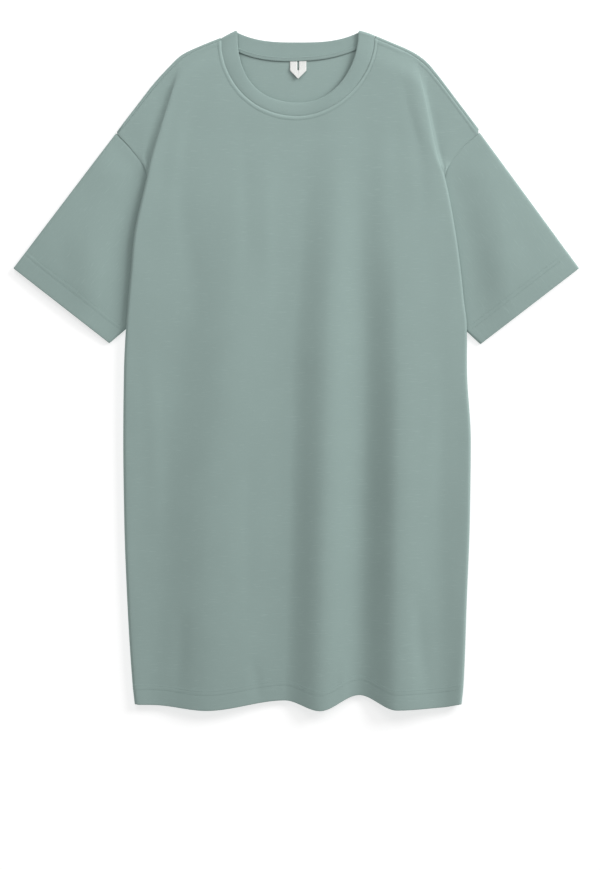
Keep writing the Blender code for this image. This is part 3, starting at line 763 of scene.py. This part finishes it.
def sleeveGrid(side):
    shape = sleeves
    tip, end = frontDetail["tipFrom"], frontDetail["seamRows"][1][-1]
    seamRows = np.concatenate((np.linspace(body["underarm"], tip, 44), np.linspace(tip + 1, end, 9)))
    hole = np.array([seamPoint(side, y) for y in seamRows])
    hole[:, 0] += cloth["gap"] / 2
    hole[0, 0] += cloth["gap"]
    hole = hole[::-1]
    steps = distances(hole)
    even = np.linspace(0, 1, shape["columns"])
    hole = placesAt(even, steps / steps[-1], hole)
    top, foot, run = cuffEnds(side)
    square = np.array((run[1], -run[0]))
    square *= np.sign(square @ (hole[0] - top))
    cuffLine = top + run * sleeves["turn"] + np.outer(even, (foot - top) - 2 * sleeves["turn"] * run)
    lengths = np.linalg.norm(hole - cuffLine, axis=1)
    count = round((shape["length"] - shape["cuffRows"][-1]) / shape["spacing"])
    far = np.linspace(shape["cuffRows"][-1], shape["length"], count + 1)[1:]
    last = shape["length"] - np.array(shape["seamRows"])
    reaches = np.concatenate((shape["cuffRows"], far[:-1], last))
    puffed, puffMiddle, puffWidth = sleeves["puff"]
    rings, thickness = [], []
    for reach in reaches[::-1]:
        b = (1 - reach / shape["length"]) ** (shape["length"] / lengths)
        plan = hole + (cuffLine - hole) * b[:, None]
        fromCuff = (plan - top) @ square
        fromSeam = np.linalg.norm(plan - hole, axis=1)
        covered = np.maximum(bodyEdge(side, plan[:, 1]), bodySeam(plan[:, 1]))
        shown = plan[:, 0] - covered
        swell = ease((shown - sleeves["pressed"]) / sleeves["swell"])
        # fuller in its middle, and pressed again at the cuff
        lens = mix(1.0, 0.86 + 0.3 * np.sin(math.pi * even) ** 0.8, swell)
        puff = 1 + puffed * swell * bump(fromCuff - puffMiddle, puffWidth)
        height = mix(cloth["tipLevel"] - cloth["floorLevel"], sleeves["height"], swell) * lens * puff
        height -= 0.9 * swell * ease((cuff["depth"] + 14 - fromCuff) / 26) * np.sin(math.pi * even)
        relief = creased(even, 1 - b, sleeveCreases[side]) * swell
        relief += lie(plan[:, 0] * side + 400, plan[:, 1]) * swell
        for row in cuff["rows"]:
            relief -= cuff["groove"] * bump(fromCuff - row, 0.9)
        relief += cuff["pucker"] * np.sin(even * 260) * bump(fromCuff - cuff["puckerAt"], 9)
        relief -= body["seamDip"][side] * bump(fromSeam, 1.4) * ease((shown + 6) / 6)
        extra = hemExtra(cuff["depth"] - fromCuff)
        floor = cloth["floorLevel"] + extra / 2
        upper = np.column_stack((plan, cloth["floorLevel"] + height + relief + extra * 0.3))
        lower = np.column_stack((plan, floor))
        ring = np.concatenate((upper, foldPoints(upper[-1], upper[-2], floor[-1]), lower[::-1],
                               foldPoints(upper[0], upper[1], floor[0])[::-1]))
        ring[:, 0] *= side
        rings.append(ring)
        thickness.append(np.mean(cloth["thickness"] + extra) * rounded(reach))
    return np.array(rings), np.array(thickness)[:, None]


def foldPoints(end, before, low):
    # points down a folded edge, outside the end of the upper layer
    out = (end - before)[:2]
    out = out / np.linalg.norm(out)
    angles = np.radians(np.linspace(68, -68, 9))
    places = end[:2] + np.outer(np.cos(angles), out) * sleeves["turn"]
    heights = low + (end[2] - low) * (1 + np.sin(angles)) / 2
    return np.column_stack((places, heights))


def addSleeve(side, name, material):
    grid, thickness = sleeveGrid(side)
    if side == left:  # its rings run the other way round
        grid = grid[:, ::-1]
    piece = addMesh(f"sleeve{name.title()}", *wallOf(grid, thickness, wrap=True), material, "jersey")
    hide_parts(f"sleeve_{name}")
    print(f"{name} sleeve: {grid.shape[0]} x {grid.shape[1]} points")
    return piece


# Neckband

rib = {
    "pitch": 1.5,
    "relief": 0.13,        # of each rib
    "half": 1.42,          # half of the doubled rib's thickness
    "across": (0, 0.006, 0.03, 0.09, 0.22, 0.4, 0.6, 0.78, 0.91, 0.97, 0.994, 1),
    "lift": -0.25,         # from the front's level beside it
    "edgeLift": (-1.0, 0.9),  # its free edge lies lower at the front, and not at the shoulders
    "backLevel": 1.5,      # of its middle, behind the neck
    "lowest": 0.05,
    "turn": 2.0,           # how far its folds bulge
    "stations": 1500,
}


def ribTurn(start, end, side):
    # the fold of the rib bulges square to the line of the fold
    slant = np.array((side * (neck["seamHalf"] - neck["edgeHalf"]), neck[left] - neck["edgeLine"]))
    out = np.array((-side * slant[1], neck["seamHalf"] - neck["edgeHalf"])) / np.linalg.norm(slant)
    t = np.linspace(0, 1, 26)[1:-1]
    places = mix(start[:2], end[:2], t[:, None]) + np.outer(np.sin(math.pi * t), out) * rib["turn"]
    return np.column_stack((places, mix(start[2], end[2], (1 - np.cos(math.pi * t)) / 2)))


def ribLoop(front, back):
    return np.concatenate((front, ribTurn(front[-1], back[0], right),
                           back, ribTurn(back[-1], front[0], left)))


def ribRings():
    # the rib's sewn and folded edges, each right round the neck
    stops = np.cos(np.linspace(math.pi, 0, 201))
    seamX = neck["centre"] + neck["seamHalf"] * stops
    high = frontHeight(seamX, frontSeamY(seamX)) + rib["lift"]
    low = np.full(len(stops), rib["backLevel"])
    edgeLift = mix(*rib["edgeLift"], np.abs(stops) ** 3)
    rings = []
    for half, front, back, lift in ((neck["seamHalf"], frontSeamY, backSeamY, 0),
                                    (neck["edgeHalf"], frontEdgeY, backEdgeY, edgeLift)):
        x = neck["centre"] + half * stops
        rings.append(ribLoop(np.column_stack((x, front(x), high + lift)),
                             np.column_stack((x, back(x), low))[::-1]))
    return rings


def evenly(loops, count):
    # the same loops with stations evenly spaced along their middle
    closed = [np.concatenate((line, line[:1])) for line in loops]
    steps = distances(sum(closed) / len(closed))
    at = np.linspace(0, steps[-1], count, endpoint=False)
    return steps[-1], [placesAt(at, steps, line) for line in closed]


def addNeckband(material):
    length, (seam, edge) = evenly(ribRings(), rib["stations"])
    line = (seam + edge) / 2
    tangent = np.roll(line, -1, 0) - np.roll(line, 1, 0)
    normal = np.cross(edge - seam, tangent)
    normal /= np.linalg.norm(normal, axis=1, keepdims=True)
    if normal[:200, 2].mean() < 0:
        normal = -normal
    ribs = round(length / rib["pitch"])
    wave = 0.5 + 0.5 * np.cos(np.arange(rib["stations"]) * 2 * math.pi * ribs / rib["stations"])
    rings = []
    sides = [(a, 1) for a in rib["across"]] + [(a, -1) for a in rib["across"][-2:0:-1]]
    for a, face in sides:
        if a > 0.5:  # the folded edge is round, the sewn one only thinner
            edgeness = (1 - abs(2 * a - 1) ** 7) ** (1 / 7)
        else:
            edgeness = 1 - 0.3 * (1 - 2 * a) ** 6
        crown = 0.35 * math.sin(math.pi * a)
        half = (rib["half"] - rib["relief"]) * edgeness + rib["relief"] * wave * edgeness ** 0.5
        rings.append(mix(seam, edge, a) + normal * (half * face + crown)[:, None])
    grid = np.array(rings).transpose(1, 0, 2)
    rows, columns = grid.shape[:2]
    faces = quads(rows + 1, columns, True) % (rows * columns)
    points = grid.reshape(-1, 3)
    points[:, 2] = np.maximum(points[:, 2], rib["lowest"])
    piece = addMesh("neckbandRib", points, outward(points, faces), material, "rib")
    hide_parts("neckband")
    print(f"neckband: {ribs} ribs on {length:.0f} mm")
    return piece


def outward(points, faces):
    # turns the faces of a closed form to look outwards
    a, b, c = (points[faces[:, k]] for k in (0, 1, 2))
    d = points[faces[:, 3]]
    volume = (np.cross(b - a, c - a) * a).sum() + (np.cross(c - a, d - a) * a).sum()
    return faces if volume > 0 else faces[:, ::-1]


# Neck tape and hanger loop

tape = {
    "width": 6.0,
    "reach": 88.0,         # to each side
    "half": 0.42,          # of its thickness
    "low": 2.75,           # levels of its two edges
    "high": 3.3,
}
loop = {
    "centre": 2.6,
    "width": 23.0,
    "length": 25.4,
    "shoulder": 13.8,      # where it begins to narrow to its point
    "slit": 2.3,           # between its legs
    "slitLength": 13.2,
    "level": 2.15,
    "tipLevel": 5.2,       # its point rises
    "half": 0.4,           # of its thickness
    "overlap": 0.6,        # under the neck tape
}


def addTape(material):
    x = neck["centre"] + np.linspace(-tape["reach"], tape["reach"], 120)
    seam = backSeamY(x)
    across = np.array((0, 0.02, 0.08, 0.2, 0.4, 0.6, 0.8, 0.92, 0.98, 1))
    rows = []
    for a in across:
        level = np.full(len(x), mix(tape["low"], tape["high"], float(ease(a))))
        rows.append(np.column_stack((x, seam + (a - 0.5) * tape["width"], level)))
    edge = rounded(np.minimum(across, 1 - across) * tape["width"], 0.8)
    wall = wallOf(np.array(rows), 2 * tape["half"] * edge[:, None])
    piece = addMesh("backNeckTape", *wall, material, "jersey")
    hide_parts("neck_tape")
    return piece


def loopLeg(side):
    # one leg of the folded tape, with its half of the mitred point
    half, slit = loop["width"] / 2, loop["slit"] / 2
    rows, thickness = [], []
    u = np.linspace(0, 1, 12)
    for v in np.concatenate((np.linspace(0, 1, 14), (1.02,), np.linspace(1.06, 2, 13))):
        down = v * loop["slitLength"] if v <= 1 else mix(loop["slitLength"], loop["length"], v - 1)
        inner = slit if v <= 1 else 0.0
        outer = half * min(1, (loop["length"] - down) / (loop["length"] - loop["shoulder"]))
        x = mix(inner, max(outer, inner + 0.15), u)
        z = mix(loop["level"], loop["tipLevel"], (down / loop["length"]) ** 1.6)
        rows.append(np.column_stack((x * side, np.full(12, -down), np.full(12, z))))
        free = np.minimum(u, 1 - u) if v <= 1 else 1 - u
        thickness.append(2 * loop["half"] * rounded(free * half, 0.8))
    return np.array(rows), np.array(thickness)


def addLoop(material):
    top = float(backSeamY(loop["centre"])) - tape["width"] / 2 + loop["overlap"]
    points, faces = [], []
    for side in (left, right):
        grid, thickness = loopLeg(side)
        grid += np.array((loop["centre"], top, 0))
        if side == right:
            grid, thickness = grid[:, ::-1], thickness[:, ::-1]
        more, quadsOf = wallOf(grid[::-1], thickness[::-1])
        faces.append(quadsOf + sum(len(p) for p in points))
        points.append(more)
    piece = addMesh("hangerLoop", np.concatenate(points), np.concatenate(faces), material, "twill")
    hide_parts("hanger_loop")
    return piece


# Stitches

stitch = {
    "length": 2.6,
    "pitch": 3.3,
    "radius": 0.2,
    "first": 0.4,
    "sides": 6,
    # along a stitch: place, size and height above the cloth
    "stations": ((0.0, 0.35, -0.18), (0.18, 1.0, 0.1), (0.5, 1.08, 0.16), (0.82, 1.0, 0.1),
                 (1.0, 0.35, -0.18)),
}


def lyingOn(piece):
    # a function that drops a place in plan onto a piece, giving the point and the normal in mm
    mesh = piece.data
    tree = BVHTree.FromPolygons([v.co[:] for v in mesh.vertices], [p.vertices[:] for p in mesh.polygons])

    def drop(x, y):
        start = np.array((x, y, 200.0)) * mm + middleOfFrame
        hit, normal, _, _ = tree.ray_cast(start.tolist(), (0, 0, -1))
        if hit is None:
            return None
        return (np.array(hit) - middleOfFrame) / mm, np.array(normal)

    return drop


def addStitches(name, runs, piece, material):
    drop = lyingOn(piece)
    points, faces = [], []
    stations, sides = stitch["stations"], stitch["sides"]
    for run in runs:
        steps = distances(run)
        for start in np.arange(stitch["first"], steps[-1] - stitch["length"], stitch["pitch"]):
            ends = placesAt((start, start + stitch["length"]), steps, run)
            hits = [drop(*end) for end in ends]
            if None in hits:
                continue
            (p0, n0), (p1, n1) = hits
            along = (p1 - p0) / max(np.linalg.norm(p1 - p0), 1e-6)
            up = n0 + n1
            up /= np.linalg.norm(up)
            beside = np.cross(up, along)
            base = len(points)
            for t, size, height in stations:
                for k in range(sides):
                    angle = 2 * math.pi * k / sides
                    offset = beside * math.cos(angle) + up * math.sin(angle)
                    points.append(mix(p0, p1, t) + up * height + offset * size * stitch["radius"])
            for i in range(len(stations) - 1):
                for k in range(sides):
                    n = (k + 1) % sides
                    faces.append((base + i * sides + k, base + (i + 1) * sides + k,
                                  base + (i + 1) * sides + n, base + i * sides + n))
            end = base + (len(stations) - 1) * sides
            faces.append(tuple(base + k for k in range(sides)))
            faces.append(tuple(end + k for k in reversed(range(sides))))
    thread = addMesh(name, points, faces, material, "jersey")
    print(f"{name}: {len(points) // (sides * len(stations))} stitches")
    return thread


def hemRuns():
    runs = []
    for row in hem["rows"]:
        y = body["hemLine"] + row
        x = np.linspace(-bodyEdge(left, y)[0] + 3, bodyEdge(right, y)[0] - 3, 300)
        runs.append(np.column_stack((x, hemWave(x) + row)))
    return runs


def cuffRuns(side):
    top, foot, run = cuffEnds(side)
    inward = np.array((-abs(run[1]), abs(run[0])))
    runs = []
    for row in cuff["rows"]:
        start, end = top + inward * row + run * 14, foot + inward * row - run * 1.5
        path = mix(start, end, np.linspace(0, 1, 60)[:, None])
        path[:, 0] *= side
        runs.append(path)
    return runs


def neckRun():
    x = neckStops(400, neck["seamHalf"])
    path = np.column_stack((x, frontSeamY(x)))
    along = np.gradient(path, axis=0)
    along /= np.linalg.norm(along, axis=1, keepdims=True)
    away = np.column_stack((along[:, 1], -along[:, 0]))
    return [(path + away * neck["stitchAt"])[6:-6]]


def tapeRuns():
    x = neck["centre"] + np.linspace(-tape["reach"] + 3, tape["reach"] - 3, 200)
    return [np.column_stack((x, backSeamY(x) + offset)) for offset in (-2.0, 2.0)]


# Materials

def setInputs(tree, node, inputs):
    for key, value in inputs.items():
        if isinstance(value, bpy.types.NodeSocket):
            tree.links.new(value, node.inputs[key])
        else:
            node.inputs[key].default_value = value


def newNode(tree, kind, inputs=None, **settings):
    node = tree.nodes.new(kind)
    for key, value in settings.items():
        setattr(node, key, value)
    setInputs(tree, node, inputs or {})
    return node


def mathNode(tree, operation, *values):
    return newNode(tree, "ShaderNodeMath", dict(enumerate(values)), operation=operation).outputs[0]


def newGroup(name, numbers, masks):
    # a group that takes a place and some numbers, and gives masks
    group = bpy.data.node_groups.new(name, "ShaderNodeTree")
    group.interface.new_socket(name="Vector", in_out="INPUT", socket_type="NodeSocketVector")
    for key, value in numbers.items():
        socket = group.interface.new_socket(name=key, in_out="INPUT", socket_type="NodeSocketFloat")
        socket.default_value = value
    for key in masks:
        group.interface.new_socket(name=key, in_out="OUTPUT", socket_type="NodeSocketFloat")
    return group, group.nodes.new("NodeGroupInput").outputs, group.nodes.new("NodeGroupOutput")


def knitGroup():
    # fine jersey: wales and courses, short slubs across the cloth, and a soft mottle
    group, given, result = newGroup("fineKnit", {"Wale": 300.0, "Course": 380.0, "Slub": 1.0},
                                    ("Tone", "Height", "Nap"))

    def noise(scale, detail, stretch=(1, 1, 1)):
        place = newNode(group, "ShaderNodeMapping", {"Vector": given["Vector"], "Scale": stretch})
        node = newNode(group, "ShaderNodeTexNoise",
                       {"Vector": place.outputs[0], "Scale": scale, "Detail": detail})
        return node.outputs["Fac"]

    def bands(direction, scale):
        node = newNode(group, "ShaderNodeTexWave",
                       {"Vector": given["Vector"], "Scale": given[scale], "Distortion": 0.6},
                       bands_direction=direction)
        return node.outputs["Fac"]

    wales, courses = bands("X", "Wale"), bands("Y", "Course")
    slubs = noise(1.0, 1.5, (75, 780, 75))
    slub = mathNode(group, "SMOOTH_MAX", mathNode(group, "SUBTRACT", slubs, 0.6), 0.0, 0.04)
    slub = mathNode(group, "MULTIPLY", slub, given["Slub"])
    fine = noise(900, 2)
    soft = noise(26, 3)
    tone = mathNode(group, "MULTIPLY_ADD", slub, 0.55, 0.93)
    tone = mathNode(group, "MULTIPLY_ADD", fine, 0.08, tone)
    tone = mathNode(group, "MULTIPLY_ADD", soft, 0.06, tone)
    loops = mathNode(group, "MULTIPLY_ADD", courses, 0.6, wales)
    height = mathNode(group, "MULTIPLY_ADD", slub, 3.0, loops)
    height = mathNode(group, "MULTIPLY_ADD", fine, 0.8, height)
    nap = mathNode(group, "MULTIPLY_ADD", fine, 0.12, 0.8)
    setInputs(group, result, {"Tone": tone, "Height": height, "Nap": nap})
    return group


def twillGroup():
    group, given, result = newGroup("twillWeave", {}, ("Tone", "Height"))
    place = newNode(group, "ShaderNodeMapping",
                    {"Vector": given["Vector"], "Rotation": (0, 0, math.radians(45))})
    wave = newNode(group, "ShaderNodeTexWave", {"Vector": place.outputs[0], "Scale": 380}).outputs["Fac"]
    tone = mathNode(group, "MULTIPLY_ADD", wave, 0.12, 0.9)
    setInputs(group, result, {"Tone": tone, "Height": wave})
    return group


def clothMaterial(name, group, look, values, grain=0.0):
    material = bpy.data.materials.new(name)
    material.use_nodes = True
    tree = material.node_tree
    place = newNode(tree, "ShaderNodeTexCoord").outputs["Object"]
    turned = newNode(tree, "ShaderNodeMapping",
                     {"Vector": place, "Rotation": (0, 0, math.radians(grain))})
    weave = newNode(tree, "ShaderNodeGroup", {"Vector": turned.outputs[0], **values},
                    node_tree=group).outputs
    # painted light and shade: the mesh's attribute lightens or darkens the tone, by the look's last number
    paintedShading = newNode(tree, "ShaderNodeAttribute", attribute_name="paintedShading")
    tone = mathNode(tree, "MULTIPLY_ADD", paintedShading.outputs["Fac"], look["paintedShading"], weave["Tone"])
    tint = newNode(tree, "ShaderNodeMix", {"Factor": 1.0, "A": (*look["colour"], 1), "B": tone},
                   data_type="RGBA", blend_type="MULTIPLY")
    relief = newNode(tree, "ShaderNodeBump", {"Height": weave["Height"], "Strength": look["relief"],
                                              "Distance": look["depth"] * mm})
    shader = tree.nodes["Principled BSDF"]
    setInputs(tree, shader, {
        "Base Color": tint.outputs["Result"],
        "Roughness": look["roughness"],
        "Sheen Weight": look["sheen"],
        "Sheen Roughness": 0.5,
        "Specular IOR Level": look["specular"],
        "Normal": relief.outputs[0],
    })
    if "Nap" in weave:
        setInputs(tree, shader, {"Roughness": weave["Nap"]})
    return material


# the last number of a look is how strongly the painted light and shade of its mesh shows
jerseyLook = {"colour": (0.285, 0.378, 0.357), "roughness": 0.85, "sheen": 0.12, "specular": 0.25,
              "relief": 0.25, "depth": 0.12, "paintedShading": 0.1}
ribLook = {**jerseyLook, "colour": (0.278, 0.370, 0.350), "relief": 0.2, "depth": 0.1}
twillLook = {"colour": (0.80, 0.81, 0.79), "roughness": 0.8, "sheen": 0.05, "specular": 0.3,
             "relief": 0.35, "depth": 0.15, "paintedShading": 0.1}
threadLook = {"colour": (0.262, 0.352, 0.332), "roughness": 0.7, "sheen": 0.2, "specular": 0.3,
              "relief": 0.2, "depth": 0.05, "paintedShading": 0.0}


# Stage

studio = {
    "cameraHeight": 4000.0,
    "aim": (5.25, -90.65),
    "frameHeight": 1218.0,
    "sensor": 36.0,
    "world": 0.41,         # the light it gives
    "backdrop": 0.96,      # its brightness where it shows behind the floor
    "floorHalf": 12.0,     # in metres
    "floorColour": 0.56,
    "floorGlow": 0.61,
    "key": {"from": (4000, 2850, 2230), "size": 2900, "power": 232.0},
    "top": {"from": (950, 1000, 800), "size": 700, "power": 2.0},
    "fill": {"from": (-700, 1900, 1900), "size": 1600, "power": 18.0},
}


def addStage():
    material = bpy.data.materials.new("paleFloor")
    material.use_nodes = True
    tree = material.node_tree
    setInputs(tree, tree.nodes["Principled BSDF"], {
        "Base Color": (studio["floorColour"],) * 3 + (1,),
        "Roughness": 0.9,
        "Specular IOR Level": 0.1,
        "Emission Color": (1, 1, 1, 1),
        "Emission Strength": studio["floorGlow"],
    })
    half = studio["floorHalf"]
    corners = ((-half, -half), (half, -half), (half, half), (-half, half))
    mesh = bpy.data.meshes.new("floor")
    mesh.from_pydata([(x, y, cadLow.z) for x, y in corners], [], [(0, 1, 2, 3)])
    mesh.materials.append(material)
    newObject("floor", mesh)
    world = bpy.data.worlds.new("studio")
    world.use_nodes = True
    tree = world.node_tree
    seen = newNode(tree, "ShaderNodeLightPath").outputs["Is Camera Ray"]
    strength = mathNode(tree, "MULTIPLY_ADD", seen, studio["backdrop"] - studio["world"], studio["world"])
    setInputs(tree, tree.nodes["Background"], {"Color": (1, 1, 1, 1), "Strength": strength})
    bpy.context.scene.world = world
    for name in ("key", "top", "fill"):
        light = bpy.data.lights.new(name, "AREA")
        light.shape = "DISK"
        light.size = studio[name]["size"] * mm
        light.energy = studio[name]["power"]
        lamp = newObject(name, light)
        place = np.array(studio[name]["from"], float)
        lamp.location = middleOfFrame + place * mm
        # it shines down its own -Z
        lamp.rotation_euler = Vector(-place).to_track_quat("-Z", "Y").to_euler()


def addCamera():
    data = bpy.data.cameras.new("camera")
    data.sensor_width = studio["sensor"]
    data.lens = studio["sensor"] * studio["cameraHeight"] / studio["frameHeight"]
    data.clip_end = 100
    camera = newObject("camera", data)
    camera.location = middleOfFrame + np.array((*studio["aim"], studio["cameraHeight"])) * mm
    bpy.context.scene.camera = camera
    bpy.context.scene.view_settings.view_transform = "Standard"


def build():
    knit, twill = knitGroup(), twillGroup()
    jersey = clothMaterial("jersey", knit, jerseyLook, {})
    jerseySleeve = {side: clothMaterial(f"jerseySleeve.{name}", knit, jerseyLook, {}, side * sleeves["grain"])
                    for side, name in sideNames.items()}
    ribbing = clothMaterial("ribbing", knit, ribLook, {"Slub": 0.4})
    twillTape = clothMaterial("twillTape", twill, twillLook, {})
    thread = clothMaterial("thread", knit, threadLook, {"Slub": 0.0})
    front = addFront(jersey)
    back, turns = addBack(jersey)
    sleeveOf = {side: addSleeve(side, name, jerseySleeve[side]) for side, name in sideNames.items()}
    band = addNeckband(ribbing)
    tapePiece = addTape(jersey)
    loopPiece = addLoop(twillTape)
    hemThread = addStitches("hemStitches", hemRuns(), front, thread)
    neckThread = addStitches("neckStitches", neckRun(), front, thread)
    cuffThread = {side: addStitches(f"cuffStitches.{name}", cuffRuns(side), sleeveOf[side], thread)
                  for side, name in sideNames.items()}
    tapeThread = addStitches("tapeStitches", tapeRuns(), tapePiece, thread)


build()
addStage()
addCamera()
